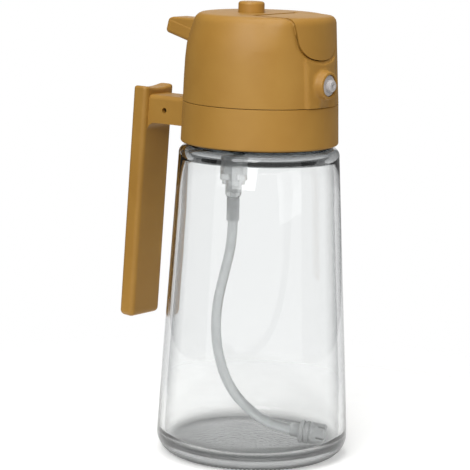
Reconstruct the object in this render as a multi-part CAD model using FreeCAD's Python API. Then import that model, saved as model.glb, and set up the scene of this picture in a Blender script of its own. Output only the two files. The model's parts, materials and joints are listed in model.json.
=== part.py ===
import FreeCAD, Part
import math
import os

# Spray-and-pour dispenser bottle: a tapered glass bottle under a moulded cap.
# The cap screws onto the glass. Squeezing the rear handle lifts the pump's plunger and sprays from the
# front nozzle. Pressing the rear thumb lever opens the front pour lid, and the top button lets air in.
# Millimetres, +Z up, +X towards the nozzle, origin in the middle of the base.

# Glass bottle
GLASS_BASE_RADIUS = 42.87
GLASS_TAPER = 0.0579
GLASS_WALL = 2.9
RING_INNER, RING_OUTER = 30.5, 34.3
HEEL_TOP = 9.3
SHOULDER_Z = 132.8
NECK_RADIUS = 29.8
NECK_BORE = 26.6
NECK_BASE, RIM_Z = 138.4, 148.0

# Screw thread of the neck and the collar
THREAD_PITCH = 4.2
THREAD_START = 141.2
NECK_THREAD_TURNS = 1.15
COLLAR_THREAD_TURNS = 1.0
NECK_THREAD_ANGLE, COLLAR_THREAD_ANGLE = 20, 90
NECK_THREAD_CREST = 31.05
COLLAR_THREAD_CREST = 30.2
THREAD_ROOT_HALF, THREAD_CREST_HALF = 1.1, 0.5

# Collar and deck
COLLAR_BOTTOM, COLLAR_TOP = 138.3, 156.2
COLLAR_LOW_RADIUS, COLLAR_TOP_RADIUS = 34.43, 33.9
COLLAR_BORE = 31.5
SHELF_RADIUS, SHELF_LOW, SHELF_HIGH = 27.0, 151.6, 153.2
DECK_RADIUS, DECK_LOW, DECK_HIGH = 31.0, 149.5, 151.5
SCREW_CIRCLE = 22.5
SCREW_ANGLES = (62, -62, 125, -125)
SCREW_RADIUS, SCREW_HEAD_RADIUS = 1.5, 2.6

# Dome cover: height, radius at the rear and radius over the spout in front
DOME_LEVELS = ((156.5, 33.85, 33.9), (166.0, 33.6, 33.3), (175.0, 33.2, 32.8), (181.0, 32.6, 32.5),
               (186.0, 31.3, 32.3), (190.5, 29.9, 32.1), (194.6, 28.7, 31.9))
DOME_WALL = 2.2
DOME_CORNER = 3.0
CORNER_ANGLES = (0, 25, 50, 70, 90)
SPOUT_HALF_ANGLE, SPOUT_BLEND_ANGLE = 32.0, 20.0
OUTLINE_POINTS = 48
PANEL_HALF_WIDTH, PANEL_RISE, PANEL_LEDGE = 10.6, 0.6, 1.3
TOP_Z = DOME_LEVELS[-1][0]
CEILING_Z = TOP_Z - DOME_WALL

# Pour lid, with the outline of its seam seen from the front
LID_GAP = 0.35
LID_TOP_HALF, LID_SIDE_HALF, LID_SIDE_Z = 16.3, 13.8, 186.0
LID_TURN = (11.5, 180.3)
LID_FOOT = (6.0, 177.0)
LID_LOW_Z = 176.2
LID_HINGE_X, LID_HINGE_Z = 8.5, 191.9
KNUCKLE_RADIUS, KNUCKLE_HALF = 2.65, 14.9
LID_PIN_RADIUS = 1.0
SPRING_NOTCH_HALF = 3.2
LID_COIL_RADIUS = 1.4

# Pour duct and trough
DUCT_X = (12.0, 23.0)
DUCT_HALF, DUCT_WALL = 6.0, 1.2
DUCT_LOW, DUCT_TOP = 147.2, 184.0
TROUGH_HALF, TROUGH_REACH = 7.5, 29.8

# Thumb lever
LEVER_X, LEVER_Z = -18.0, 181.0
LEVER_HALF_INNER, LEVER_HALF_OUTER = 6.7, 9.4
LEVER_TIP_X, LEVER_TIP_Z, LEVER_TIP_RADIUS = 18.0, 190.4, 1.2
LEVER_PIN_RADIUS = 1.25
TAB_SLOPE = 15.0
TAB_HALF, TAB_THICK, TAB_ROUND = 5.5, 7.2, 1.8
TAB_CENTRE = (-36.0, 183.3)
TAB_OUT, TAB_IN = 14.0, 16.0
TAB_CROWN = ((-48.6, 188.0), (-46.4, 190.3), (-32.0, 190.3), (-32.0, 184.6), (-44.0, 185.6))
TAB_CROWN_ROUND = 1.0
TAB_SLOT = (174.4, 186.2)

# Trigger handle
PIVOT_X, PIVOT_Z = -48.0, 148.5
PIVOT_PIN_RADIUS, PIVOT_PIN_SUNK = 1.2, 1.8
ARM_HALF, ARM_LOW, ARM_HIGH = 7.5, 142.5, 155.0
ARM_END = -36.0
LUG_HALF, LUG_ROUND = 3.2, 3.3
CHEEK_GAP = 0.4
GRIP_TOP = (-60.4, 160.5)
GRIP_LEAN = 3.4
GRIP_LENGTH, GRIP_WIDTH, GRIP_DEPTH, GRIP_ROUND = 108.0, 20.0, 8.0, 2.4
SADDLE_LOW, SADDLE_RADIUS, SADDLE_ROUND = 157.6, 35.0, 1.2
FORK_HALF, FORK_SLOT = 5.0, 2.5
INNER_ARM_HALF, INNER_ARM_LOW, INNER_ARM_HIGH = 4.0, 152.0, 155.2
WINDOW_HALF, WINDOW_HIGH = 4.8, 158.8

# Pump, hanging under the deck
PUMP_X = -13.7
BARREL_RADIUS, BARREL_BORE = 6.0, 4.6
BARREL_LOW, BARREL_HIGH = 124.0, 149.4
CHAMBER_LOW = 127.0
ROD_RADIUS = 2.0
PISTON_RADIUS, PISTON_LOW, PISTON_HIGH = 4.35, 131.0, 135.0
BUSH_LOW = 145.6
OUTLET_ANGLE, OUTLET_REACH = -52.0, 8.7
OUTLET_Z = 143.4
NIPPLE_RADIUS, NIPPLE_TOP = 1.7, 157.5
FEED_RADIUS, FEED_BORE = 2.1, 1.75

# Inlet valve, hose and sinker
VALVE_RADIUS, VALVE_SEAT = 3.6, 117.0
BALL_RADIUS = 2.0
SLEEVE_RADIUS, SLEEVE_LOW, SLEEVE_HIGH = 2.85, 102.4, 114.4
HOSE_RADIUS, HOSE_BORE = 2.2, 1.4
HOSE_ROUTE = ((-13.7, 0.0, 102.4), (-13.7, 0.0, 92.5), (-14.5, -4.0, 79.0), (-14.9, -8.2, 66.0),
              (-13.2, -11.0, 53.5), (-10.0, -11.8, 41.5), (-4.8, -10.8, 30.0), (3.6, -8.1, 20.8),
              (13.4, -4.7, 14.7), (21.8, -0.8, 13.6))
SINKER_RADIUS, SINKER_NECK, SINKER_BODY, SINKER_LENGTH = 5.0, 4.0, 10.5, 15.0
GROOVE_DEPTH = 0.6

# Nozzle
NOZZLE_Z = 166.0
BOSS_BASE_RADIUS, BOSS_RIM_RADIUS, BOSS_BORE = 7.2, 5.8, 4.75
BOSS_BASE_X, BOSS_RIM_X = 31.8, 36.8
CHAMBER_X = (24.6, 33.9)
SIDE_PORT_X = 26.6

# Vent button
VENT_X = -6.3
BUTTON_RADIUS, BUTTON_TOP, BUTTON_ROUND = 5.7, 199.3, 1.2
HOUSING_RADIUS, HOUSING_TOP = 3.2, 178.0
VENT_SEAT = 164.0

# Clearances
RUNNING_GAP = 0.05
SEAT_GAP = 0.1


def V(x, y, z):
    return FreeCAD.Vector(x, y, z)


def block(xs, ys, zs):
    """A box between two limits on each axis."""
    return Part.makeBox(xs[1] - xs[0], ys[1] - ys[0], zs[1] - zs[0], V(xs[0], ys[0], zs[0]))


def rod(radius, start, end):
    """A round bar between two points."""
    return Part.makeCylinder(radius, (end - start).Length, start, end - start)


def post(radius, low, high, x=0.0, y=0.0):
    """An upright round bar."""
    return rod(radius, V(x, y, low), V(x, y, high))


def cross_rod(radius, half, x, z):
    """A round bar along Y, centred on the middle plane."""
    return rod(radius, V(x, -half, z), V(x, half, z))


def lathe(start, *steps):
    """A solid turned about Z. A step is a line's end point, or an arc's middle and end points."""
    here = V(start[0], 0, start[1])
    edges = []
    for step in steps + (start,):
        if isinstance(step[0], tuple):
            middle, end = (V(r, 0, z) for r, z in step)
            edges.append(Part.Arc(here, middle, end).toShape())
        else:
            end = V(step[0], 0, step[1])
            edges.append(Part.LineSegment(here, end).toShape())
        here = end
    return Part.Face(Part.Wire(edges)).revolve(V(0, 0, 0), V(0, 0, 1), 360)


def extruded(points, half):
    """A prism along Y from points given as x and z."""
    corners = [V(x, -half, z) for x, z in points]
    return Part.Face(Part.makePolygon(corners + corners[:1])).extrude(V(0, 2 * half, 0))


def edges_at(shape, test):
    """The edges whose middle point passes a test."""
    return [edge for edge in shape.Edges if test(edge.BoundBox.Center)]


def helix_solid(pitch, turns, radius, section):
    """A wire section, drawn in XZ at the helix's start, swept up a helix about Z."""
    path = Part.makeHelix(pitch, pitch * turns, radius)
    return Part.Wire(path).makePipeShell([section], True, True)


def thread_ridge(root, crest, turns, shift, start_angle):
    """A ridge on the common thread line, moved up by a shift, from a start angle round the neck."""
    corners = [V(root, 0, -THREAD_ROOT_HALF), V(crest, 0, -THREAD_CREST_HALF),
               V(crest, 0, THREAD_CREST_HALF), V(root, 0, THREAD_ROOT_HALF)]
    ridge = helix_solid(THREAD_PITCH, turns, min(root, crest), Part.makePolygon(corners + corners[:1]))
    ridge.rotate(V(0, 0, 0), V(0, 0, 1), start_angle)
    ridge.translate(V(0, 0, THREAD_START + THREAD_PITCH * start_angle / 360 + shift))
    return ridge


def coil(mean_radius, wire_radius, length, turns):
    """A coil spring standing on Z = 0."""
    section = Part.Wire(Part.makeCircle(wire_radius, V(mean_radius, 0, 0), V(0, 1, 0)))
    spring = helix_solid((length - 2 * wire_radius) / turns, turns, mean_radius, section)
    spring.translate(V(0, 0, wire_radius))
    return spring


def rounded_path(points):
    """Straight runs joined by tangent arcs, with the radii of the arcs."""
    corners = [V(*point) for point in points]
    edges = []
    radii = []
    here = corners[0]
    for before, corner, after in zip(corners, corners[1:], corners[2:]):
        back = before - corner
        ahead = after - corner
        turn = math.pi - back.getAngle(ahead)
        setback = 0.45 * min(back.Length, ahead.Length)
        radii.append(setback / math.tan(turn / 2))
        back.normalize()
        ahead.normalize()
        start = corner + back * setback
        end = corner + ahead * setback
        inward = back + ahead
        inward.normalize()
        middle = corner + inward * (radii[-1] / math.cos(turn / 2) - radii[-1])
        edges.append(Part.LineSegment(here, start).toShape())
        edges.append(Part.Arc(start, middle, end).toShape())
        here = end
    edges.append(Part.LineSegment(here, corners[-1]).toShape())
    return Part.Wire(edges), radii


def bent_tube(points, radius, bore):
    path, radii = rounded_path(points)
    start = V(*points[0])
    along = V(*points[1]) - start
    sections = [Part.Wire(Part.makeCircle(r, start, along)) for r in (radius, bore)]
    outside, inside = (path.makePipeShell([section], True, False) for section in sections)
    tube = outside.cut(inside)
    expected = math.pi * (radius ** 2 - bore ** 2) * path.Length
    print("tube length %.1f, volume %.1f, section times length %.1f" % (path.Length, tube.Volume, expected))
    print("bend radii", [round(r, 1) for r in radii])
    return tube


def glass_radius(z):
    return GLASS_BASE_RADIUS - GLASS_TAPER * z


def make_glass_bottle():
    floor_z, inner_heel, inner_shoulder = 6.2, 12.0, 131.0
    body = lathe(
        (0, 3.5),
        ((16, 2.6), (RING_INNER, 0.0)),
        (RING_OUTER, 0.0),
        ((39.9, 2.9), (glass_radius(HEEL_TOP), HEEL_TOP)),
        (glass_radius(SHOULDER_Z), SHOULDER_Z),
        ((34.35, 135.7), (32.0, 137.0)),
        (31.0, 137.2),
        ((30.1, 137.6), (NECK_RADIUS, NECK_BASE)),
        (NECK_RADIUS, RIM_Z - 0.8),
        ((NECK_RADIUS - 0.25, RIM_Z - 0.25), (NECK_RADIUS - 0.8, RIM_Z)),
        (NECK_BORE + 0.7, RIM_Z),
        ((NECK_BORE + 0.2, RIM_Z - 0.2), (NECK_BORE, RIM_Z - 0.7)),
        (NECK_BORE, NECK_BASE),
        ((30.2, 134.8), (glass_radius(inner_shoulder) - GLASS_WALL, inner_shoulder)),
        (glass_radius(inner_heel) - GLASS_WALL, inner_heel),
        ((37.6, 7.9), (33.5, floor_z)),
        (10.0, 8.0),
        (0, 8.0),
    )
    ridge = thread_ridge(NECK_RADIUS - 0.3, NECK_THREAD_CREST, NECK_THREAD_TURNS, 0, NECK_THREAD_ANGLE)
    return body.fuse(ridge)


def make_neck_gasket():
    low, high = RIM_Z + SEAT_GAP, DECK_LOW - SEAT_GAP
    return post(NECK_RADIUS - 0.2, low, high).cut(post(NECK_BORE + 0.2, low, high))


def make_screw_collar():
    edge_round = 1.0
    ring = lathe(
        (COLLAR_BORE, COLLAR_BOTTOM),
        (COLLAR_LOW_RADIUS - edge_round, COLLAR_BOTTOM),
        ((COLLAR_LOW_RADIUS - 0.29, COLLAR_BOTTOM + 0.29), (COLLAR_LOW_RADIUS, COLLAR_BOTTOM + edge_round)),
        (COLLAR_TOP_RADIUS, COLLAR_TOP - 0.3),
        (COLLAR_TOP_RADIUS - 0.3, COLLAR_TOP),
        (COLLAR_BORE, COLLAR_TOP),
        (COLLAR_BORE, SHELF_HIGH),
        (SHELF_RADIUS, SHELF_HIGH),
        (SHELF_RADIUS, SHELF_LOW),
        (COLLAR_BORE, SHELF_LOW),
    )
    ring = ring.fuse(thread_ridge(COLLAR_BORE + 0.3, COLLAR_THREAD_CREST, COLLAR_THREAD_TURNS,
                                  -THREAD_PITCH / 2, COLLAR_THREAD_ANGLE))
    window = block((-36, -20), (-WINDOW_HALF, WINDOW_HALF), (SHELF_LOW - 0.05, COLLAR_TOP + 1))
    lug = block((PIVOT_X, -COLLAR_BORE - 0.7), (-LUG_HALF, LUG_HALF), (PIVOT_Z - LUG_ROUND, 151.4))
    lug = lug.fuse(cross_rod(LUG_ROUND, LUG_HALF, PIVOT_X, PIVOT_Z))
    lug = lug.cut(cross_rod(PIVOT_PIN_RADIUS, ARM_HALF, PIVOT_X, PIVOT_Z))
    return ring.cut(window).fuse(lug).removeSplitter()


def make_deck_plate():
    deck = post(DECK_RADIUS, DECK_LOW, DECK_HIGH)
    low, high = DECK_LOW - 1, DECK_HIGH + 1
    holes = [post(ROD_RADIUS + 0.4, low, high, PUMP_X), post(1.2, low, high, VENT_X)]
    holes.append(post(NIPPLE_RADIUS + SEAT_GAP, low, high, *outlet_point()))
    holes += [post(SCREW_RADIUS + SEAT_GAP, low, high, x, y) for x, y in screw_points()]
    holes.append(block((DUCT_X[0] - SEAT_GAP, DUCT_X[1] + SEAT_GAP),
                       (-DUCT_HALF - SEAT_GAP, DUCT_HALF + SEAT_GAP), (low, high)))
    return deck.cut(Part.makeCompound(holes))


def screw_points():
    return [(SCREW_CIRCLE * math.cos(math.radians(a)), SCREW_CIRCLE * math.sin(math.radians(a)))
            for a in SCREW_ANGLES]


def make_deck_screws():
    """Pan-head self-tapping screws with a cross recess, driven up through the deck."""
    head_high, point_z, tip_z = DECK_LOW - RUNNING_GAP, 162.0, 163.6
    head_low = head_high - 1.7
    screws = []
    for x, y in screw_points():
        head = post(SCREW_HEAD_RADIUS, head_low, head_high, x, y)
        head = head.makeFillet(0.7, edges_at(head, lambda c: abs(c.z - head_low) < 0.01))
        tip = Part.makeCone(SCREW_RADIUS, 0.3, tip_z - point_z, V(x, y, point_z))
        screw = head.fuse([post(SCREW_RADIUS, head_high, point_z, x, y), tip])
        for across, along in ((0.35, 1.5), (1.5, 0.35)):
            recess_zs = (head_low - 1, head_low + 0.9)
            screw = screw.cut(block((x - across, x + across), (y - along, y + along), recess_zs))
        screws.append(screw.removeSplitter())
    return Part.makeCompound(screws)


def dome_radii(z):
    """Rear and front radius of the dome at a height."""
    for (z0, rear0, front0), (z1, rear1, front1) in zip(DOME_LEVELS, DOME_LEVELS[1:]):
        if z <= z1:
            share = (z - z0) / (z1 - z0)
            return rear0 + share * (rear1 - rear0), front0 + share * (front1 - front0)


def dome_outline(z, inset):
    """Closed plan of the dome: round at the rear, fuller where the spout stands in front."""
    rear, front = dome_radii(z)
    points = []
    for i in range(OUTLINE_POINTS):
        angle = 360.0 * i / OUTLINE_POINTS - 180.0
        share = min(1.0, max(0.0, (abs(angle) - SPOUT_HALF_ANGLE) / SPOUT_BLEND_ANGLE))
        ridge = 1.0 - share * share * (3.0 - 2.0 * share)
        radius = rear + (front - rear) * ridge - inset
        points.append(V(radius * math.cos(math.radians(angle)), radius * math.sin(math.radians(angle)), z))
    curve = Part.BSplineCurve()
    curve.interpolate(points, True)
    return Part.Wire(curve.toShape())


def dome_solid(inset, heights):
    return Part.makeLoft([dome_outline(z, inset) for z in heights], True, True)


def dome_skin():
    """The dome's whole moulded wall, lid included, with a rounded top edge."""
    heights = [level[0] for level in DOME_LEVELS[:-1]]
    outlines = [dome_outline(z, 0) for z in heights]
    for angle in CORNER_ANGLES:
        rise = math.radians(angle)
        height = TOP_Z - DOME_CORNER * (1 - math.sin(rise))
        outlines.append(dome_outline(height, DOME_CORNER * (1 - math.cos(rise))))
    outer = Part.makeLoft(outlines, True, True)
    return outer.cut(dome_solid(DOME_WALL, heights + [CEILING_Z]))


def lid_outline(grow, start_x):
    """Front view of the lid's seam as a prism that runs forward from a given X."""
    high = TOP_Z + 3.0
    turn_y, turn_z = LID_TURN
    foot_y, foot_z = LID_FOOT
    left = V(start_x, LID_SIDE_HALF, LID_SIDE_Z)
    right = V(start_x, -LID_SIDE_HALF, LID_SIDE_Z)
    left_foot = V(start_x, foot_y, foot_z)
    right_foot = V(start_x, -foot_y, foot_z)
    top_left = V(start_x, LID_TOP_HALF, high)
    top_right = V(start_x, -LID_TOP_HALF, high)
    edges = [
        Part.LineSegment(top_left, left).toShape(),
        Part.Arc(left, V(start_x, turn_y, turn_z), left_foot).toShape(),
        Part.Arc(left_foot, V(start_x, 0, LID_LOW_Z), right_foot).toShape(),
        Part.Arc(right_foot, V(start_x, -turn_y, turn_z), right).toShape(),
        Part.LineSegment(right, top_right).toShape(),
        Part.LineSegment(top_right, top_left).toShape(),
    ]
    outline = Part.Wire(edges)
    if grow:
        outline = outline.makeOffset2D(grow)
    return Part.Face(outline).extrude(V(45 - start_x, 0, 0))


def make_dome_cover(skin):
    dome = skin.cut(lid_outline(0, LID_HINGE_X - KNUCKLE_RADIUS - 0.4))
    heights = [level[0] for level in DOME_LEVELS[:4]]
    panel = block((20, 40), (-PANEL_HALF_WIDTH, PANEL_HALF_WIDTH), (heights[0], LID_LOW_Z + 3))
    panel = panel.cut(lid_outline(PANEL_LEDGE, 15))
    panel = panel.common(dome_solid(-PANEL_RISE, heights)).cut(dome_solid(DOME_WALL / 2, heights))
    boss = Part.makeCone(BOSS_BASE_RADIUS, BOSS_RIM_RADIUS, BOSS_RIM_X - BOSS_BASE_X,
                         V(BOSS_BASE_X, 0, NOZZLE_Z), V(1, 0, 0))
    boss = boss.makeFillet(0.7, edges_at(boss, lambda c: c.x > BOSS_RIM_X - 0.01))
    dome = dome.fuse([panel, boss])
    added = []
    for x, y in screw_points():
        added.append(post(2.8, DECK_HIGH + SEAT_GAP, CEILING_Z + 0.5, x, y))
    for side in (-1, 1):
        lid_ear = sorted((side * 15.4, side * 18.6))
        added.append(block((LID_HINGE_X - 3, LID_HINGE_X + 3), lid_ear, (LID_HINGE_Z - 2.6, CEILING_Z + 0.5)))
        lever_ear = sorted((side * (LEVER_HALF_OUTER + 0.5), side * (LEVER_HALF_OUTER + 3.0)))
        added.append(block((LEVER_X - 3.2, LEVER_X + 3.2), lever_ear, (LEVER_Z - 3.2, CEILING_Z + 0.5)))
    dome = dome.fuse(added)
    cuts = [
        rod(BOSS_BORE, V(28, 0, NOZZLE_Z), V(BOSS_RIM_X + 1, 0, NOZZLE_Z)),
        post(BUTTON_RADIUS + 0.25, CEILING_Z - 1, TOP_Z + 1, VENT_X),
        block((-40, -20), (-TAB_HALF - 0.5, TAB_HALF + 0.5), TAB_SLOT),
        block((-40, -25), (-WINDOW_HALF, WINDOW_HALF), (DOME_LEVELS[0][0] - 1, WINDOW_HIGH)),
        cross_rod(LID_PIN_RADIUS, 18.5, LID_HINGE_X, LID_HINGE_Z),
        cross_rod(LEVER_PIN_RADIUS, LEVER_HALF_OUTER + 2.9, LEVER_X, LEVER_Z),
    ]
    cuts += [post(SCREW_RADIUS + RUNNING_GAP, DECK_HIGH - 1, 164.5, x, y) for x, y in screw_points()]
    return dome.cut(cuts)


def make_pour_lid(skin):
    plate = skin.common(lid_outline(-LID_GAP, LID_HINGE_X))
    knuckle = cross_rod(KNUCKLE_RADIUS, KNUCKLE_HALF, LID_HINGE_X, LID_HINGE_Z)
    lid = plate.fuse(knuckle)
    notch_zs = (LID_HINGE_Z - 4, LID_HINGE_Z + LID_COIL_RADIUS + 0.55)
    notch = block((LID_HINGE_X - 4, LID_HINGE_X + 2.2), (-SPRING_NOTCH_HALF, SPRING_NOTCH_HALF), notch_zs)
    pin_hole = cross_rod(LID_PIN_RADIUS + RUNNING_GAP, KNUCKLE_HALF + 1, LID_HINGE_X, LID_HINGE_Z)
    return lid.cut([notch, pin_hole]).removeSplitter()


def make_lid_seal():
    pad = block((DUCT_X[0] + 0.4, DUCT_X[1] - 0.4), (-DUCT_HALF + 0.4, DUCT_HALF - 0.4),
                (DUCT_TOP + 0.3, CEILING_Z - RUNNING_GAP))
    return pad.makeFillet(0.8, edges_at(pad, lambda c: c.z < CEILING_Z - 1))


def make_lid_spring():
    length = 2 * SPRING_NOTCH_HALF - 0.8
    spring = coil(LID_COIL_RADIUS, 0.25, length, 7)
    spring.rotate(V(0, 0, 0), V(1, 0, 0), -90)
    spring.translate(V(LID_HINGE_X, -length / 2, LID_HINGE_Z))
    return spring


def make_pour_spout():
    x0, x1 = DUCT_X
    duct = block(DUCT_X, (-DUCT_HALF, DUCT_HALF), (DUCT_LOW, DUCT_TOP))
    flange = 1.4
    duct = duct.fuse(block((x0 - flange, x1 + flange), (-DUCT_HALF - flange, DUCT_HALF + flange),
                           (DECK_HIGH + SEAT_GAP, DECK_HIGH + 1.5)))
    back, lip = x1 - 0.6, TROUGH_REACH + 1
    floor = extruded(((back, 178.6), (back, 180.4), (lip, 178.2), (lip, 176.8)), TROUGH_HALF)
    walls = extruded(((back, 178.6), (back, DUCT_TOP), (lip, 181.4), (lip, 176.8)), TROUGH_HALF)
    inside = TROUGH_HALF - DUCT_WALL
    walls = walls.cut(block((x1 - 5, lip + 5), (-inside, inside), (170, 190)))
    trough = floor.fuse(walls).common(post(TROUGH_REACH, 170, 190))
    inside = DUCT_HALF - DUCT_WALL
    bore = block((x0 + DUCT_WALL, x1 - DUCT_WALL), (-inside, inside), (DUCT_LOW - 1, DUCT_TOP + 1))
    return duct.fuse(trough).cut(bore).removeSplitter()


def make_thumb_lever():
    hub = cross_rod(3.6, LEVER_HALF_OUTER, LEVER_X, LEVER_Z)
    pieces = []
    arm_low, arm_high = LEVER_Z - 3.4, LEVER_Z + 0.6
    for side in (-1, 1):
        ys = sorted((side * LEVER_HALF_INNER, side * LEVER_HALF_OUTER))
        tip_xs = (LEVER_TIP_X - LEVER_TIP_RADIUS, LEVER_TIP_X + LEVER_TIP_RADIUS)
        pieces.append(block((LEVER_X, tip_xs[1]), ys, (arm_low, arm_high)))
        pieces.append(block(tip_xs, ys, (arm_low, LEVER_TIP_Z)))
        tip_start, tip_end = (V(LEVER_TIP_X, y, LEVER_TIP_Z) for y in ys)
        pieces.append(rod(LEVER_TIP_RADIUS, tip_start, tip_end))
    tab = block((-TAB_OUT, TAB_IN), (-TAB_HALF, TAB_HALF), (-TAB_THICK / 2, TAB_THICK / 2))
    tab = tab.makeFillet(TAB_ROUND, tab.Edges)
    tab.rotate(V(0, 0, 0), V(0, 1, 0), TAB_SLOPE)
    tab.translate(V(TAB_CENTRE[0], 0, TAB_CENTRE[1]))
    crown = extruded(TAB_CROWN, TAB_HALF - 0.2)
    crown = crown.makeFillet(TAB_CROWN_ROUND, edges_at(crown, lambda c: c.z > TAB_CROWN[1][1] - 0.01))
    lever = hub.fuse(pieces + [tab, crown])
    pin_hole = cross_rod(LEVER_PIN_RADIUS + RUNNING_GAP, LEVER_HALF_OUTER + 1, LEVER_X, LEVER_Z)
    return lever.cut(pin_hole).removeSplitter()


def make_trigger_handle():
    grip = block((-GRIP_DEPTH / 2, GRIP_DEPTH / 2), (-GRIP_WIDTH / 2, GRIP_WIDTH / 2), (-GRIP_LENGTH, 0))
    grip = grip.makeFillet(GRIP_ROUND, edges_at(grip, lambda c: c.z < -1))
    grip.rotate(V(0, 0, 0), V(0, 1, 0), GRIP_LEAN)
    grip.translate(V(GRIP_TOP[0], 0, GRIP_TOP[1]))
    saddle_z = SADDLE_LOW + SADDLE_RADIUS
    grip = grip.cut(rod(SADDLE_RADIUS, V(-80, 0, saddle_z), V(-45, 0, saddle_z)))
    grip = grip.makeFillet(SADDLE_ROUND, edges_at(grip, lambda c: c.z > SADDLE_LOW - 1))
    arm = block((GRIP_TOP[0], ARM_END), (-ARM_HALF, ARM_HALF), (ARM_LOW, ARM_HIGH))
    arm = arm.makeFillet(2.0, edges_at(arm, lambda c: c.z > ARM_HIGH - 0.01 and abs(c.y) > 1))
    handle = grip.fuse(arm).removeSplitter()
    at_arm_foot = lambda c: abs(c.z - ARM_LOW) < 0.01 and abs(c.y) < 0.01 and c.x < ARM_END - 5
    handle = handle.makeFillet(4.0, edges_at(handle, at_arm_foot))
    cavity = LUG_HALF + CHEEK_GAP
    handle = handle.cut(block((PIVOT_X - 5.5, ARM_END + 1), (-cavity, cavity), (ARM_LOW - 10, 152.6)))
    fork_x, fork_end = PUMP_X - 5.5, PUMP_X + 2.6
    inner_zs = (INNER_ARM_LOW, INNER_ARM_HIGH)
    inner = block((ARM_END - 6, fork_end), (-INNER_ARM_HALF, INNER_ARM_HALF), inner_zs)
    inner = inner.fuse(block((fork_x, fork_end), (-FORK_HALF, FORK_HALF), inner_zs))
    inner = inner.cut(block((PUMP_X - FORK_SLOT, fork_end + 1), (-FORK_SLOT, FORK_SLOT), (150, 160)))
    pin_hole = cross_rod(PIVOT_PIN_RADIUS + RUNNING_GAP, ARM_HALF + 1, PIVOT_X, PIVOT_Z)
    return handle.fuse(inner).cut(pin_hole).removeSplitter()


def outlet_point():
    angle = math.radians(OUTLET_ANGLE)
    return PUMP_X + OUTLET_REACH * math.cos(angle), OUTLET_REACH * math.sin(angle)


def make_pump_barrel():
    x, y = outlet_point()
    column_low = OUTLET_Z - 3.0
    web = block((0, OUTLET_REACH), (-2.0, 2.0), (column_low, OUTLET_Z + 3.0))
    web.rotate(V(0, 0, 0), V(0, 0, 1), OUTLET_ANGLE)
    web.translate(V(PUMP_X, 0, 0))
    barrel = post(BARREL_RADIUS, BARREL_LOW, BARREL_HIGH, PUMP_X)
    barrel = barrel.fuse([
        post(BARREL_RADIUS + 0.9, BARREL_HIGH - 2.2, BARREL_HIGH, PUMP_X),
        web,
        post(2.9, column_low, BARREL_HIGH, x, y),
        post(NIPPLE_RADIUS, BARREL_HIGH, NIPPLE_TOP, x, y),
    ])
    barrel = barrel.cut([
        post(BARREL_BORE, CHAMBER_LOW, BARREL_HIGH + 1, PUMP_X),
        post(1.5, BARREL_LOW - 1, CHAMBER_LOW + 1, PUMP_X),
        post(0.9, OUTLET_Z, NIPPLE_TOP + 1, x, y),
        rod(0.9, V(PUMP_X, 0, OUTLET_Z), V(x, y, OUTLET_Z)),
    ])
    return barrel.removeSplitter()


def make_barrel_cap():
    low, high = BUSH_LOW, BARREL_HIGH - RUNNING_GAP
    bush = post(BARREL_BORE - RUNNING_GAP, low, high, PUMP_X)
    return bush.cut(post(ROD_RADIUS + RUNNING_GAP, low, high, PUMP_X))


def make_pump_plunger():
    head_low, head_high = INNER_ARM_HIGH + 0.3, INNER_ARM_HIGH + 3.2
    piston = post(PISTON_RADIUS, PISTON_LOW, PISTON_HIGH, PUMP_X)
    groove = post(PISTON_RADIUS + 1, PISTON_LOW + 1.2, PISTON_HIGH - 1.2, PUMP_X)
    piston = piston.cut(groove.cut(post(3.4, PISTON_LOW, PISTON_HIGH, PUMP_X)))
    crosshead = block((PUMP_X - 2.3, PUMP_X + 2.3), (-FORK_HALF, FORK_HALF), (head_low, head_high))
    crosshead = crosshead.makeFillet(0.6, crosshead.Edges)
    return piston.fuse([post(ROD_RADIUS, PISTON_HIGH - 1, head_low + 1, PUMP_X), crosshead]).removeSplitter()


def make_piston_seal():
    low, high = PISTON_LOW + 1.25, PISTON_HIGH - 1.25
    return post(BARREL_BORE - RUNNING_GAP, low, high, PUMP_X).cut(post(3.4 + RUNNING_GAP, low, high, PUMP_X))


def make_pump_spring():
    spring = coil(3.2, 0.35, BUSH_LOW - PISTON_HIGH - 0.2, 5)
    spring.translate(V(PUMP_X, 0, PISTON_HIGH + 0.1))
    return spring


def make_inlet_valve_body():
    top = BARREL_LOW - RUNNING_GAP
    bore, chamber = 1.0, 2.45
    body = lathe(
        (bore, SLEEVE_LOW + 3.6), (SLEEVE_RADIUS - 0.9, SLEEVE_LOW + 3.6),
        (SLEEVE_RADIUS - 0.9, SLEEVE_HIGH + 0.2), (SLEEVE_RADIUS, SLEEVE_HIGH + 0.2),
        (VALVE_RADIUS, VALVE_SEAT - 0.8), (VALVE_RADIUS, 121.7), (5.0, 121.7), (5.0, top),
        (chamber, top), (chamber, VALVE_SEAT), (bore, VALVE_SEAT),
    )
    body.translate(V(PUMP_X, 0, 0))
    return body


def make_inlet_ball():
    return Part.makeSphere(BALL_RADIUS, V(PUMP_X, 0, VALVE_SEAT + 1.8))


def make_hose_connector():
    sleeve = post(SLEEVE_RADIUS, SLEEVE_LOW, SLEEVE_HIGH, PUMP_X)
    sleeve = sleeve.makeFillet(0.4, sleeve.Edges[:1])
    return sleeve.cut([post(SLEEVE_RADIUS - 0.85, SLEEVE_LOW + 3.4, SLEEVE_HIGH + 1, PUMP_X),
                       post(1.2, SLEEVE_LOW - 1, SLEEVE_HIGH, PUMP_X)])


def on_hose_end(shape):
    """Stand a piece built along Z on the hose's end, pointing on along the hose."""
    end = V(*HOSE_ROUTE[-1])
    along = end - V(*HOSE_ROUTE[-2])
    shape.Placement = FreeCAD.Placement(end, FreeCAD.Rotation(V(0, 0, 1), along))
    return shape


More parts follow.
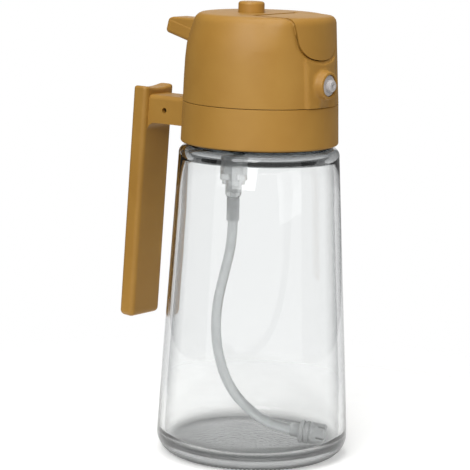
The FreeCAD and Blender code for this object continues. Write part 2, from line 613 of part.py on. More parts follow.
def make_sinker_weight():
    """Turned weight with a hose neck and two grip grooves."""
    r = SINKER_RADIUS
    profile = [(3.0, 0), (3.0, SINKER_NECK), (r - 0.5, SINKER_NECK), (r, SINKER_NECK + 0.5)]
    for z in (SINKER_NECK + 1.8, SINKER_NECK + 4.0):
        profile += [(r, z), (r - GROOVE_DEPTH, z + 0.2), (r - GROOVE_DEPTH, z + 0.8), (r, z + 1.0)]
    weight = lathe((1.3, 0), *profile, (r, SINKER_BODY), (1.3, SINKER_BODY))
    return on_hose_end(weight)


def make_strainer_cap():
    r = SINKER_RADIUS
    low, high = SINKER_BODY + RUNNING_GAP, SINKER_LENGTH
    cup = lathe((r - 1.4, low), (r, low), (r, high - 1.0), ((r - 0.29, high - 0.29), (r - 1.0, high)),
                (0, high), (0, high - 1.2), (r - 1.4, high - 1.2))
    slots = []
    for i in range(6):
        slot = block((1.2, r + 1), (-0.4, 0.4), (low + 1.2, high + 1))
        slot.rotate(V(0, 0, 0), V(0, 0, 1), 60 * i)
        slots.append(slot)
    return on_hose_end(cup.cut(slots))


def make_feed_tube():
    x, y = outlet_point()
    route = ((x, y, 152.2), (x, y, 161.5), (0.0, -12.2, NOZZLE_Z), (SIDE_PORT_X, -12.0, NOZZLE_Z),
             (SIDE_PORT_X, -5.0, NOZZLE_Z))
    return bent_tube(route, FEED_RADIUS, FEED_BORE)


def make_nozzle_chamber():
    chamber = rod(BOSS_BORE - 0.1, V(CHAMBER_X[0], 0, NOZZLE_Z), V(CHAMBER_X[1], 0, NOZZLE_Z))
    nipple_start, nipple_end = V(SIDE_PORT_X, 0, NOZZLE_Z), V(SIDE_PORT_X, -8.6, NOZZLE_Z)
    chamber = chamber.fuse(rod(NIPPLE_RADIUS, nipple_start, nipple_end))
    bore = rod(3.0, V(CHAMBER_X[0] + 1.2, 0, NOZZLE_Z), V(CHAMBER_X[1] + 1, 0, NOZZLE_Z))
    return chamber.cut([bore, rod(0.9, nipple_start, nipple_end + V(0, -1, 0))])


def make_nozzle_insert():
    flange_x, face_x, tip_x = CHAMBER_X[1] + 0.15, 36.2, 38.5
    back_x, edge = flange_x - 2.9, BOSS_BORE - 0.12
    insert = lathe((0.35, back_x), (2.9, back_x), (2.9, flange_x), (edge, flange_x), (edge, face_x - 0.4),
                   (edge - 0.4, face_x), (2.7, face_x), (2.5, tip_x - 0.4), (2.1, tip_x), (1.0, tip_x),
                   (0.35, tip_x - 0.8))
    insert.rotate(V(0, 0, 0), V(0, 1, 0), 90)
    insert.translate(V(0, 0, NOZZLE_Z))
    return insert


def make_swirl_plug():
    """Spin insert: a plug with three grooves along its side."""
    x0, x1 = SIDE_PORT_X + 1.4, CHAMBER_X[1] - 3.1
    plug = rod(2.9, V(x0, 0, NOZZLE_Z), V(x1, 0, NOZZLE_Z))
    grooves = []
    for i in range(3):
        groove = block((x0 - 1, x1 + 1), (-0.5, 0.5), (2.1, 4.0))
        groove.rotate(V(0, 0, 0), V(1, 0, 0), 120 * i)
        groove.translate(V(0, 0, NOZZLE_Z))
        grooves.append(groove)
    return plug.cut(grooves)


def make_vent_button():
    cap_low = CEILING_Z - 2.2
    cap = post(BUTTON_RADIUS, cap_low, BUTTON_TOP, VENT_X)
    cap = cap.makeFillet(BUTTON_ROUND, edges_at(cap, lambda c: c.z > BUTTON_TOP - 0.01))
    button = cap.fuse([
        post(BUTTON_RADIUS + 0.9, cap_low, CEILING_Z - 0.4, VENT_X),
        post(2.3, HOUSING_TOP - 2.0, cap_low, VENT_X),
        post(0.95, VENT_SEAT - 3.6, HOUSING_TOP - 2.0, VENT_X),
        post(1.5, VENT_SEAT - 3.6, VENT_SEAT - 2.4, VENT_X),
    ])
    return button.removeSplitter()


def make_vent_seal():
    low, high = VENT_SEAT - 2.35, VENT_SEAT - 0.35
    return post(2.0, low, high, VENT_X).cut(post(1.0, low, high, VENT_X))


def make_vent_housing():
    low = DECK_HIGH + SEAT_GAP
    housing = post(HOUSING_RADIUS, low, HOUSING_TOP, VENT_X)
    return housing.cut([
        post(2.5, low - 1, VENT_SEAT, VENT_X),
        post(1.25, VENT_SEAT - 1, VENT_SEAT + 3, VENT_X),
        post(2.5, VENT_SEAT + 2.5, HOUSING_TOP + 1, VENT_X),
    ])


def make_vent_spring():
    low = VENT_SEAT + 2.6
    spring = coil(1.75, 0.3, HOUSING_TOP - 2.1 - low, 8)
    spring.translate(V(VENT_X, 0, low))
    return spring


def main():
    skin = dome_skin()
    nodes = {
        "glass_bottle": make_glass_bottle(),
        "neck_gasket": make_neck_gasket(),
        "screw_collar": make_screw_collar(),
        "deck_plate": make_deck_plate(),
        "deck_screws": make_deck_screws(),
        "dome_cover": make_dome_cover(skin),
        "pour_spout": make_pour_spout(),
        "pour_lid": make_pour_lid(skin),
        "lid_seal": make_lid_seal(),
        "lid_pin": cross_rod(LID_PIN_RADIUS, 18.4, LID_HINGE_X, LID_HINGE_Z),
        "lid_spring": make_lid_spring(),
        "thumb_lever": make_thumb_lever(),
        "lever_pin": cross_rod(LEVER_PIN_RADIUS, LEVER_HALF_OUTER + 2.8, LEVER_X, LEVER_Z),
        "trigger_handle": make_trigger_handle(),
        "handle_pin": cross_rod(PIVOT_PIN_RADIUS, ARM_HALF - PIVOT_PIN_SUNK, PIVOT_X, PIVOT_Z),
        "pump_barrel": make_pump_barrel(),
        "barrel_cap": make_barrel_cap(),
        "pump_plunger": make_pump_plunger(),
        "piston_seal": make_piston_seal(),
        "pump_spring": make_pump_spring(),
        "inlet_valve_body": make_inlet_valve_body(),
        "inlet_ball": make_inlet_ball(),
        "hose_connector": make_hose_connector(),
        "dip_hose": bent_tube(HOSE_ROUTE, HOSE_RADIUS, HOSE_BORE),
        "sinker_weight": make_sinker_weight(),
        "strainer_cap": make_strainer_cap(),
        "feed_tube": make_feed_tube(),
        "nozzle_chamber": make_nozzle_chamber(),
        "nozzle_insert": make_nozzle_insert(),
        "swirl_plug": make_swirl_plug(),
        "vent_button": make_vent_button(),
        "vent_seal": make_vent_seal(),
        "vent_housing": make_vent_housing(),
        "vent_spring": make_vent_spring(),
    }
    os.makedirs("parts", exist_ok=True)
    for name, shape in nodes.items():
        facts = (name, len(shape.Solids), shape.isValid(), shape.Volume)
        print("%-18s solids %d valid %s volume %.0f" % facts)
        shape.exportStep("parts/%s.step" % name)


main()
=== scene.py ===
import json
import math

import bmesh
import bpy
from mathutils import Matrix, Vector
from mathutils.geometry import intersect_point_line


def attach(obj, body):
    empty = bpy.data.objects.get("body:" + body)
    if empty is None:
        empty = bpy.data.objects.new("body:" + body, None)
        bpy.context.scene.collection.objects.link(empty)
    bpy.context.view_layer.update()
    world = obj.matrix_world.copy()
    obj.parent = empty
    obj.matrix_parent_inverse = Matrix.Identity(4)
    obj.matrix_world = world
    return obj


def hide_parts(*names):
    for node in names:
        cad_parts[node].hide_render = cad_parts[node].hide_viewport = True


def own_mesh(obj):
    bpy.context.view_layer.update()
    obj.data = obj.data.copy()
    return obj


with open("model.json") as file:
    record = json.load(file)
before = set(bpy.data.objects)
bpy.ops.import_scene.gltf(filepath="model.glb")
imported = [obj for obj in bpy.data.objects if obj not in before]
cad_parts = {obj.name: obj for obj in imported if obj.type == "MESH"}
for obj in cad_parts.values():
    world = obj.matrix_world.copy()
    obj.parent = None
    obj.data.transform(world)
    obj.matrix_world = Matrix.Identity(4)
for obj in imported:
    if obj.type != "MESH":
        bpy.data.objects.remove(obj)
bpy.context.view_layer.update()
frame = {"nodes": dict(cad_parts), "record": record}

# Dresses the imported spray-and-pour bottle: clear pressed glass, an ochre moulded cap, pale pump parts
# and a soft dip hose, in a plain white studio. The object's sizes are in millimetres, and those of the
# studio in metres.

MM = 0.001

# Camera, fitted to the photograph
CAMERA_AT = (583.8, -774.7, 262.0)
CAMERA_AIM = (-7.7, -5.8, 97.0)
CAMERA_LENS = 171.5
CAMERA_SENSOR = 36.0
CAMERA_ROLL = 1.45
VIEW_AZIMUTH = 37.0

# Studio
CARD_DISTANCE, CARD_SETBACK, CARD_LIFT = 0.15, 0.25, 0.03
CARD_HEIGHT, CARD_WIDTH = 0.5, 0.7
LIGHT_AIM = (0.0, 0.0, 0.1)
WORLD_FILL = 0.28
SKY_WHITE_TO, SKY_DARK_FROM, SKY_DARK = 0.45, 0.75, 0.12
FLOOR_RADIUS, FLOOR_GLOW = 0.9, 0.35
FLOOR_SOLID_TO, FLOOR_CLEAR_FROM = 0.05, 0.25

# Soft line of the dip hose, from the sleeve under the pump to the sinker
HOSE_ROUTE = ((-13.7, 0.0, 102.4), (-13.7, 0.0, 92.5), (-14.5, -4.0, 79.0), (-14.9, -8.2, 66.0),
              (-13.2, -11.0, 53.5), (-10.0, -11.8, 41.5), (-4.8, -10.8, 30.0), (3.6, -8.1, 20.8),
              (13.4, -4.7, 14.7), (21.8, -0.8, 13.6))
HOSE_RADIUS = 2.2

# Wall section of the glass as radius and height, from under the base up the outside and down the inside:
# a pair of points is an arc's middle and end, and a single point ends a straight line
GLASS_SECTION = (
    (0.0, 3.5), ((16.0, 2.6), (30.5, 0.0)), (34.3, 0.0), ((39.9, 2.9), (42.33, 9.3)),
    (35.18, 132.8), ((34.35, 135.7), (32.0, 137.0)), (31.0, 137.2), ((30.1, 137.6), (29.8, 138.4)),
    (29.8, 147.2), ((29.55, 147.75), (29.0, 148.0)), (27.3, 148.0), ((26.8, 147.8), (26.6, 147.3)),
    (26.6, 138.4), ((30.2, 134.8), (32.38, 131.0)), (39.28, 12.0), ((37.6, 7.9), (33.5, 6.2)),
    ((17.0, 7.6), (0.0, 8.2)),
)
GLASS_TURNS = 240
GLASS_TOP = 148.0
# Heights of painted shade in the glass, along the shoulder under the collar and at the heel, and the
# heights between which the heel turns from frosted to clear
SHOULDER_SHADE_LOW, SHOULDER_SHADE_TOP = 133.0, 136.2
HEEL_SHADE_TOP, HEEL_FROSTED_TO, HEEL_CLEAR_FROM = 8.0, 4.0, 10.0
STIPPLE_FULL_TO, STIPPLE_NONE_FROM = 2.0, 5.0
FOOT_MARK_RADII = (33.0, 37.5)
FOOT_MARK_TOP, FOOT_MARK_RISE = 1.0, 0.5
THREAD_PITCH = 4.2
THREAD_ANGLE = 20.0
THREAD_START = 141.2
THREAD_TURNS = 1.15
THREAD_SECTION = ((29.7, -1.1), (31.05, -0.5), (31.05, 0.5), (29.7, 1.1))

# Front view of the pour lid's seam as half width and height, written as the glass section is
LID_SEAM = ((16.3, 197.6), (13.8, 186.0), ((11.5, 180.3), (6.0, 177.0)), ((0.0, 176.2), (-6.0, 177.0)))
SEAM_LOW = 176.2
# The dome's lip that rolls in along the seam: its width and depth and the fineness of its mesh, where it
# starts on the top and is full, and the heights between which it turns from the front onto the top
LIP_REACH, LIP_DEPTH, LIP_GRAIN = 2.2, 0.9, 0.6
LIP_REAR, LIP_FULL = 8.0, 14.0
LIP_FRONT_TOP, LIP_TOP = 188.0, 194.0
LIP_SPLITS = 6
SKIN_FACING = 0.5

# Coil springs that a joint presses: node, piece, joint, fixed end and share of the length left at the limit
COILS = (("pump_spring", "pump_coil", "plunger_lift", (-13.7, 0.0, 145.5), 0.41),
         ("vent_spring", "vent_coil", "vent_press", (-6.3, 0.0, 166.6), 0.78))

ARC_STEPS = 6
LONGEST_STRAIGHT = 21.0
WELD = 0.002
SPIN_WELD = 0.01
GLASS_SMOOTH, MOULDING_SMOOTH, COIL_SMOOTH = 40.0, 30.0, 60.0


def linear(hex_colour):
    """sRGB hex to the linear colour a socket takes."""
    parts = [int(hex_colour[i:i + 2], 16) / 255 for i in (1, 3, 5)]
    return [c / 12.92 if c <= 0.04045 else ((c + 0.055) / 1.055) ** 2.4 for c in parts] + [1.0]


def per_mm(size_mm):
    """Scale of a pattern in object coordinates whose features are this many millimetres across."""
    return 1.0 / (size_mm * MM)


def metres(place):
    return Vector(place) * MM


def ramp(value, low, high):
    """0 below the low value, 1 above the high one and even between."""
    return min(max((value - low) / (high - low), 0.0), 1.0)


def arc_through(start, middle, end):
    """Points after the start along the arc through three points of a section."""
    a, b = middle - start, end - start
    across = 2.0 * (a.x * b.y - a.y * b.x)
    centre = start + Vector((b.y * a.length_squared - a.y * b.length_squared,
                             a.x * b.length_squared - b.x * a.length_squared)) / across
    spoke, last = start - centre, end - centre
    sweep = math.atan2(spoke.x * last.y - spoke.y * last.x, spoke.dot(last))
    turns = [Matrix.Rotation(sweep * step / ARC_STEPS, 2) for step in range(1, ARC_STEPS + 1)]
    return [centre + turn @ spoke for turn in turns]


def section_points(entries):
    """Points along a section of arcs and straight lines, with the long lines split for even shading."""
    points = [Vector(entries[0])]
    for entry in entries[1:]:
        start = points[-1]
        if isinstance(entry[0], tuple):
            points += arc_through(start, Vector(entry[0]), Vector(entry[1]))
        else:
            end = Vector(entry)
            parts = math.ceil((end - start).length / LONGEST_STRAIGHT)
            points += [start.lerp(end, part / parts) for part in range(1, parts + 1)]
    return points


def add_node(tree, kind, inputs=None, **settings):
    """Adds a node; an input is a value, or another node's output socket to link."""
    node = tree.nodes.new(kind)
    for name, value in settings.items():
        setattr(node, name, value)
    for name, value in (inputs or {}).items():
        if isinstance(value, bpy.types.NodeSocket):
            tree.links.new(value, node.inputs[name])
        else:
            node.inputs[name].default_value = value
    return node


def new_material(name):
    material = bpy.data.materials.new(name)
    material.use_nodes = True
    tree = material.node_tree
    tree.nodes.clear()
    place = add_node(tree, "ShaderNodeTexCoord").outputs["Object"]
    return material, tree, place


def finish_material(tree, shader):
    add_node(tree, "ShaderNodeOutputMaterial", {"Surface": shader.outputs[0]})


def shades(tree, factor, *stops):
    """Colours along a factor: each stop is its place from 0 to 1 and its hex colour."""
    node = add_node(tree, "ShaderNodeValToRGB", {"Fac": factor})
    elements = node.color_ramp.elements
    while len(elements) < len(stops):
        elements.new(1.0)
    for element, (position, colour) in zip(elements, stops):
        element.position = position
        element.color = linear(colour)
    return node.outputs["Color"]


def moulded_ochre_plastic():
    """Satin polypropylene from a spark-eroded mould: a soft sheen and slight flow clouds in the colour.

    The real grain is under 0.1 mm, and it is drawn at 0.6 mm so that it shows.
    """
    material, tree, place = new_material("moulded_ochre_polypropylene")
    clouds = add_node(tree, "ShaderNodeTexNoise", {"Vector": place, "Scale": per_mm(22), "Detail": 3.0})
    colour = shades(tree, clouds.outputs["Fac"], (0.3, "#A87A2F"), (0.7, "#B18438"))
    grain = add_node(tree, "ShaderNodeTexNoise", {"Vector": place, "Scale": per_mm(0.6), "Detail": 2.0})
    rough = add_node(tree, "ShaderNodeMapRange", {
        "Value": grain.outputs["Fac"], "To Min": 0.44, "To Max": 0.56})
    bump = add_node(tree, "ShaderNodeBump", {
        "Height": grain.outputs["Fac"], "Strength": 0.12, "Distance": 0.05 * MM})
    finish_material(tree, add_node(tree, "ShaderNodeBsdfPrincipled", {
        "Base Color": colour, "Roughness": rough.outputs["Result"], "Normal": bump.outputs["Normal"],
        "IOR": 1.49}))
    return material


def soda_lime_glass():
    """Clear pressed glass: faint waves in the wall, a stippled foot and a frosted heel.

    The colour holds painted shade: it is darker at the heel, along the shoulder under the collar, and where
    the wall is seen at a grazing angle.
    """
    material, tree, place = new_material("soda_lime_glass")
    height = add_node(tree, "ShaderNodeSeparateXYZ", {"Vector": place}).outputs["Z"]
    level = add_node(tree, "ShaderNodeMapRange", {"Value": height, "From Max": GLASS_TOP * MM})
    # Painted shade: the glass colour darkens from the bottom up to the heel's top, and along the shoulder
    # under the collar
    wall = shades(tree, level.outputs["Result"], (0.0, "#3E4242"), (HEEL_SHADE_TOP / GLASS_TOP, "#F7F8F8"),
                  (SHOULDER_SHADE_LOW / GLASS_TOP, "#F7F8F8"), (SHOULDER_SHADE_TOP / GLASS_TOP, "#4A4E50"))
    # Painted shade: the glass colour darkens where the wall is seen at a grazing angle, for dark edges
    # along its outline
    edge_shade_facing = add_node(tree, "ShaderNodeLayerWeight", {"Blend": 0.5})
    edge = shades(tree, edge_shade_facing.outputs["Facing"], (0.5, "#FFFFFF"), (0.88, "#5E6264"))
    colour = add_node(tree, "ShaderNodeVectorMath", {0: wall, 1: edge}, operation="MULTIPLY")
    frost = add_node(tree, "ShaderNodeMapRange", {
        "Value": height, "From Min": HEEL_CLEAR_FROM * MM, "From Max": HEEL_FROSTED_TO * MM,
        "To Min": 0.0, "To Max": 0.3})
    waves = add_node(tree, "ShaderNodeTexNoise", {"Vector": place, "Scale": per_mm(18), "Detail": 1.0})
    stipple = add_node(tree, "ShaderNodeTexVoronoi", {"Vector": place, "Scale": per_mm(1.8)})
    foot = add_node(tree, "ShaderNodeMapRange", {
        "Value": height, "From Min": STIPPLE_NONE_FROM * MM, "From Max": STIPPLE_FULL_TO * MM,
        "To Min": 0.0, "To Max": 6.0})
    pressed = add_node(tree, "ShaderNodeMath", {
        0: stipple.outputs["Distance"], 1: foot.outputs["Result"]}, operation="MULTIPLY")
    surface = add_node(tree, "ShaderNodeMath", {
        0: waves.outputs["Fac"], 1: pressed.outputs["Value"]}, operation="ADD")
    bump = add_node(tree, "ShaderNodeBump", {
        "Height": surface.outputs["Value"], "Strength": 0.25, "Distance": 0.15 * MM})
    finish_material(tree, add_node(tree, "ShaderNodeBsdfPrincipled", {
        "Base Color": colour.outputs["Vector"], "Roughness": frost.outputs["Result"], "IOR": 1.52,
        "Transmission Weight": 1.0, "Normal": bump.outputs["Normal"]}))
    return material


def natural_plastic(name, dark, light, clearness, roughness):
    """Uncoloured moulding: milky, see-through by its clearness, with faint flow marks about 4 mm wide."""
    material, tree, place = new_material(name)
    flow = add_node(tree, "ShaderNodeTexNoise", {"Vector": place, "Scale": per_mm(4), "Detail": 2.0})
    colour = shades(tree, flow.outputs["Fac"], (0.3, dark), (0.7, light))
    bump = add_node(tree, "ShaderNodeBump", {
        "Height": flow.outputs["Fac"], "Strength": 0.1, "Distance": 0.1 * MM})
    finish_material(tree, add_node(tree, "ShaderNodeBsdfPrincipled", {
        "Base Color": colour, "Roughness": roughness, "IOR": 1.49, "Transmission Weight": clearness,
        "Normal": bump.outputs["Normal"]}))
    return material


def drawn_steel(name, tint):
    """Steel of wire and pins: a slightly uneven sheen.

    The real drawing marks are far finer, and they are drawn at 0.8 mm so that they show.
    """
    material, tree, place = new_material(name)
    marks = add_node(tree, "ShaderNodeTexNoise", {"Vector": place, "Scale": per_mm(0.8), "Detail": 2.0})
    rough = add_node(tree, "ShaderNodeMapRange", {
        "Value": marks.outputs["Fac"], "To Min": 0.22, "To Max": 0.36})
    bump = add_node(tree, "ShaderNodeBump", {
        "Height": marks.outputs["Fac"], "Strength": 0.1, "Distance": 0.05 * MM})
    finish_material(tree, add_node(tree, "ShaderNodeBsdfPrincipled", {
        "Base Color": linear(tint), "Metallic": 1.0, "Roughness": rough.outputs["Result"],
        "Normal": bump.outputs["Normal"]}))
    return material


def aim(obj, target, roll=0.0):
    turn = (target - obj.location).to_track_quat("-Z", "Y")
    obj.rotation_mode = "QUATERNION"
    obj.rotation_quaternion = turn @ Matrix.Rotation(math.radians(roll), 3, "Z").to_quaternion()


def make_camera():
    camera = bpy.data.objects.new("camera", bpy.data.cameras.new("camera"))
    bpy.context.scene.collection.objects.link(camera)
    camera.data.sensor_width = CAMERA_SENSOR
    camera.data.lens = CAMERA_LENS
    camera.location = metres(CAMERA_AT)
    aim(camera, metres(CAMERA_AIM), CAMERA_ROLL)
    bpy.context.scene.camera = camera


def dress(obj, material, body):
    """Links a new piece to the scene, with its finish and the body it rides on."""
    bpy.context.scene.collection.objects.link(obj)
    obj.data.materials.append(material)
    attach(obj, body)
    return obj


def to_object(bm, name, smooth_angle):
    mesh = bpy.data.meshes.new(name)
    bm.to_mesh(mesh)
    bm.free()
    mesh.shade_smooth()
    mesh.set_sharp_from_angle(angle=math.radians(smooth_angle))
    return bpy.data.objects.new(name, mesh)


def make_hose(material):
    """The soft dip hose, a curve along its hanging line that ends at the sinker, in place of the imported
    hose.
    """
    curve = bpy.data.curves.new("soft_hose", "CURVE")
    curve.dimensions = "3D"
    curve.bevel_depth = HOSE_RADIUS * MM
    curve.bevel_resolution = 8
    curve.use_fill_caps = True
    line = curve.splines.new("NURBS")
    line.points.add(len(HOSE_ROUTE) - 1)
    for point, place in zip(line.points, HOSE_ROUTE):
        point.co = (*metres(place), 1.0)
    line.order_u = 3
    line.use_endpoint_u = True
    line.resolution_u = 16
    hose = dress(bpy.data.objects.new("soft_hose", curve), material, "cap")
    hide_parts("dip_hose")


def make_bottle(material):
    """The glass turned from its wall section, with its foot's grip marks and the neck's screw thread."""
    bm = bmesh.new()
    section = [bm.verts.new((r * MM, 0.0, z * MM)) for r, z in section_points(GLASS_SECTION)]
    edges = [bm.edges.new(pair) for pair in zip(section, section[1:])]
    bmesh.ops.spin(bm, geom=section + edges, cent=(0, 0, 0), axis=(0, 0, 1), angle=2 * math.pi,
                   steps=GLASS_TURNS, use_merge=True)
    bmesh.ops.remove_doubles(bm, verts=bm.verts, dist=SPIN_WELD * MM)
    press_foot_marks(bm)
    add_thread(bm)
    bmesh.ops.recalc_face_normals(bm, faces=bm.faces)
    bottle = dress(to_object(bm, "pressed_glass", GLASS_SMOOTH), material, "bottle")
    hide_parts("glass_bottle")


def press_foot_marks(bm):
    """Lifts every other radial line of the ring that the bottle stands on, which leaves grip marks."""
    low, high = (radius * MM for radius in FOOT_MARK_RADII)
    lifted = []
    for vert in bm.verts:
        line = round(math.atan2(vert.co.y, vert.co.x) * GLASS_TURNS / (2 * math.pi))
        if low < vert.co.xy.length < high and vert.co.z < FOOT_MARK_TOP * MM and line % 2:
            lifted.append(vert)
    bmesh.ops.translate(bm, verts=lifted, vec=(0, 0, FOOT_MARK_RISE * MM))


def add_thread(bm):
    """The screw thread's ridge, its section turned and lifted round the neck."""
    steps = round(GLASS_TURNS * THREAD_TURNS)
    rise = THREAD_PITCH * MM * THREAD_TURNS / steps
    start = THREAD_START + THREAD_PITCH * THREAD_ANGLE / 360.0
    corners = [bm.verts.new((r * MM, 0.0, (z + start) * MM)) for r, z in THREAD_SECTION]
    turn = Matrix.Rotation(math.radians(THREAD_ANGLE), 3, "Z")
    bmesh.ops.rotate(bm, verts=corners, cent=(0, 0, 0), matrix=turn)
    face = bm.faces.new(corners)
    bmesh.ops.spin(bm, geom=[face], cent=(0, 0, 0), axis=(0, 0, 1), dvec=(0, 0, rise),
                   angle=2 * math.pi * THREAD_TURNS, steps=steps)


def seam_distance(place, seam):
    """Distance in the front view, in millimetres, from the pour lid's seam."""
    point = Vector((abs(place.y), place.z)) / MM
    nearest = math.inf
    for start, end in zip(seam, seam[1:]):
        share = intersect_point_line(point, start, end)[1]
        foot = start.lerp(end, ramp(share, 0.0, 1.0))
        nearest = min(nearest, (point - foot).length)
    return nearest


def beside_seam(place, seam):
    in_front = place.x > LIP_REAR * MM and place.z > (SEAM_LOW - LIP_REACH) * MM
    return in_front and seam_distance(place, seam) < LIP_REACH


def on_outer_skin(vert):
    """True where the dome's surface faces outwards, or upwards on its top."""
    outward = Vector((vert.co.x, vert.co.y, 0.0)).normalized()
    on_top = vert.co.z > LIP_FRONT_TOP * MM and vert.normal.z > SKIN_FACING
    return on_top or vert.normal.dot(outward) > SKIN_FACING


def roll_lip(bm):
    """Splits the dome's skin finely beside the lid's seam and rolls its edge inwards there."""
    seam = section_points(LID_SEAM)
    for step in range(LIP_SPLITS):
        coarse = [edge for edge in bm.edges if edge.calc_length() > LIP_GRAIN * MM
                  and any(beside_seam(vert.co, seam) for vert in edge.verts)]
        bmesh.ops.subdivide_edges(bm, edges=coarse, cuts=1, use_grid_fill=True, use_single_edge=True)
        bmesh.ops.triangulate(bm, faces=bm.faces)
    bm.normal_update()
    moves = []
    for vert in bm.verts:
        if beside_seam(vert.co, seam) and on_outer_skin(vert):
            top = ramp(vert.co.z, LIP_FRONT_TOP * MM, LIP_TOP * MM)
            inward = Vector((top - 1.0, 0.0, -top)).normalized()
            roll = (1.0 - seam_distance(vert.co, seam) / LIP_REACH) ** 2
            roll *= ramp(vert.co.x, LIP_REAR * MM, LIP_FULL * MM)
            moves.append((vert, inward * LIP_DEPTH * MM * roll))
    for vert, move in moves:
        vert.co += move


def smooth_copy(node, name, material, body, smooth_angle, shape=None):
    """A merged copy of a node that shades as one smooth piece, after a shape function if one is given."""
    bm = bmesh.new()
    bm.from_mesh(frame["nodes"][node].data)
    bmesh.ops.remove_doubles(bm, verts=bm.verts, dist=WELD * MM)
    if shape:
        shape(bm)
    piece = dress(to_object(bm, name, smooth_angle), material, body)
    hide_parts(node)
    return piece


def dress_cad_nodes(finishes, own_finishes):
    """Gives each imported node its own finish, or the finish of its slot in the record."""
    for entry in frame["record"]["subparts"]:
        finish = own_finishes.get(entry["node"], finishes[entry["material_slot"]])
        materials = frame["nodes"][entry["node"]].data.materials
        materials.clear()
        materials.append(finish)


def softbox(name, azimuth, elevation, distance, size, power):
    """A square studio light, in degrees, metres and watts, aimed at the bottle."""
    lamp = bpy.data.lights.new(name, "AREA")
    lamp.shape = "SQUARE"
    lamp.size = size
    lamp.energy = power
    obj = bpy.data.objects.new(name, lamp)
    bpy.context.scene.collection.objects.link(obj)
    a, e = math.radians(azimuth), math.radians(elevation)
    target = Vector(LIGHT_AIM)
    direction = Vector((math.sin(a) * math.cos(e), -math.cos(a) * math.cos(e), math.sin(e)))
    obj.location = target + distance * direction
    aim(obj, target)
    return obj


def dark_card(name, side, tint):
    """A studio card beside the bottle, seen only in reflections, that shades the cap and the handle."""
    bm = bmesh.new()
    bmesh.ops.create_grid(bm, x_segments=1, y_segments=1, size=0.5)
    azimuth = math.radians(VIEW_AZIMUTH)
    right = Vector((math.cos(azimuth), math.sin(azimuth), 0))
    back = Vector((-right.y, right.x, 0))
    middle = right * side * CARD_DISTANCE + back * CARD_SETBACK
    middle.z = CARD_LIFT + CARD_HEIGHT / 2
    turn = Matrix.Rotation(azimuth, 4, "Z") @ Matrix.Rotation(math.radians(90), 4, "Y")
    size = Matrix.Diagonal((CARD_HEIGHT, CARD_WIDTH, 1, 1))
    bmesh.ops.transform(bm, matrix=Matrix.Translation(middle) @ turn @ size, verts=bm.verts)
    card = to_object(bm, name, MOULDING_SMOOTH)
    bpy.context.scene.collection.objects.link(card)
    material, tree, place = new_material(name + "_felt")
    finish_material(tree, add_node(tree, "ShaderNodeEmission", {"Color": linear(tint)}))
    card.data.materials.append(material)
    card.visible_camera = False
    card.visible_diffuse = False
    card.visible_transmission = False
    card.visible_shadow = False


def make_world():
    """White for the camera, a sky that is darker overhead for gloss and glass, and a fill for the rest."""
    world = bpy.data.worlds.new("studio")
    bpy.context.scene.world = world
    world.use_nodes = True
    tree = world.node_tree
    tree.nodes.clear()
    direction = add_node(tree, "ShaderNodeTexCoord").outputs["Generated"]
    up = add_node(tree, "ShaderNodeSeparateXYZ", {"Vector": direction}).outputs["Z"]
    sky = add_node(tree, "ShaderNodeMapRange", {
        "Value": up, "From Min": SKY_WHITE_TO, "From Max": SKY_DARK_FROM,
        "To Min": 1.0, "To Max": SKY_DARK})
    path = add_node(tree, "ShaderNodeLightPath").outputs
    backdrop = add_node(tree, "ShaderNodeMath", {
        0: sky.outputs["Result"], 1: path["Is Camera Ray"]}, operation="MAXIMUM")
    gloss = add_node(tree, "ShaderNodeMath", {
        0: path["Is Camera Ray"], 1: path["Is Glossy Ray"]}, operation="MAXIMUM")
    seen = add_node(tree, "ShaderNodeMath", {
        0: gloss.outputs["Value"], 1: path["Is Transmission Ray"]}, operation="MAXIMUM")
    level = add_node(tree, "ShaderNodeMapRange", {
        "Value": seen.outputs["Value"], "To Min": WORLD_FILL, "To Max": backdrop.outputs["Value"]})
    light = add_node(tree, "ShaderNodeBackground", {
        "Color": (1, 1, 1, 1), "Strength": level.outputs["Result"]})
    add_node(tree, "ShaderNodeOutputWorld", {"Surface": light.outputs[0]})


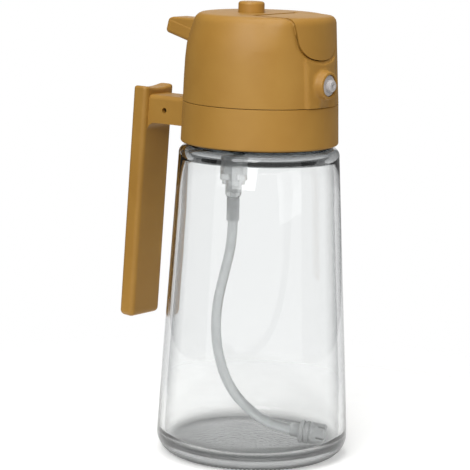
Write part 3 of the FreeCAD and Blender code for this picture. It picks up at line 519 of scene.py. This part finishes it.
def make_floor():
    """A pale paper floor under the bottle that fades out into the white background."""
    bm = bmesh.new()
    bmesh.ops.create_circle(bm, cap_ends=True, segments=96, radius=FLOOR_RADIUS)
    floor = to_object(bm, "floor", MOULDING_SMOOTH)
    bpy.context.scene.collection.objects.link(floor)
    material, tree, place = new_material("white_paper_floor")
    spread = add_node(tree, "ShaderNodeVectorMath", {0: place}, operation="LENGTH")
    fade = add_node(tree, "ShaderNodeMapRange", {
        "Value": spread.outputs["Value"], "From Min": FLOOR_SOLID_TO, "From Max": FLOOR_CLEAR_FROM},
        interpolation_type="SMOOTHSTEP")
    paper = add_node(tree, "ShaderNodeBsdfDiffuse", {"Color": linear("#F4F4F2")})
    glow = add_node(tree, "ShaderNodeEmission", {"Color": (1, 1, 1, 1), "Strength": FLOOR_GLOW})
    lit = add_node(tree, "ShaderNodeAddShader", {0: paper.outputs[0], 1: glow.outputs[0]})
    clear = add_node(tree, "ShaderNodeBsdfTransparent")
    finish_material(tree, add_node(tree, "ShaderNodeMixShader", {
        "Fac": fade.outputs["Result"], 1: lit.outputs[0], 2: clear.outputs[0]}))
    floor.data.materials.append(material)


def make_studio():
    make_world()
    make_floor()
    dark_card("left_card", -1, "#484848")
    dark_card("right_card", 1, "#8C8C8C")
    softbox("key_softbox", azimuth=15, elevation=35, distance=1.3, size=0.8, power=10.5)
    softbox("top_softbox", azimuth=0, elevation=85, distance=1.2, size=0.8, power=7.0)
    fill = softbox("fill_softbox", azimuth=85, elevation=15, distance=1.4, size=0.9, power=3.8)
    fill.visible_glossy = False


def main():
    make_camera()
    finishes = {
        "glass": soda_lime_glass(),
        "cap_plastic": moulded_ochre_plastic(),
        "inner_plastic": natural_plastic("natural_polypropylene", "#E8EAEA", "#F2F4F4", 0.75, 0.2),
        "nozzle_plastic": natural_plastic("off_white_acetal", "#BCB8B7", "#C6C2C1", 0.0, 0.35),
        "silicone": natural_plastic("clear_silicone", "#D4D7D7", "#E2E4E4", 0.55, 0.3),
        "hose": natural_plastic("soft_clear_hose", "#DCDFDF", "#E8EBEB", 0.6, 0.3),
        "sinker_plastic": natural_plastic("grey_weighted_plastic", "#B4B6B6", "#C2C4C4", 0.0, 0.45),
        "steel": drawn_steel("drawn_stainless_steel", "#C9CAC9"),
    }
    # The handle pin's dark brown steel is painted shade, for the shade down in the pin's hole
    dress_cad_nodes(finishes, {"handle_pin": drawn_steel("steel_dark_with_painted_hole_shade", "#4A3A26")})
    make_hose(finishes["hose"])
    make_bottle(finishes["glass"])
    ochre = finishes["cap_plastic"]
    smooth_copy("dome_cover", "dome_moulding", ochre, "cap", MOULDING_SMOOTH, roll_lip)
    smooth_copy("pour_lid", "lid_moulding", ochre, "lid", MOULDING_SMOOTH)
    for node, name, joint, fixed_end, share in COILS:
        coil = smooth_copy(node, name, finishes["steel"], "cap", COIL_SMOOTH)
        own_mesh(coil)
    make_studio()
    bpy.context.scene.view_settings.view_transform = "Standard"


main()
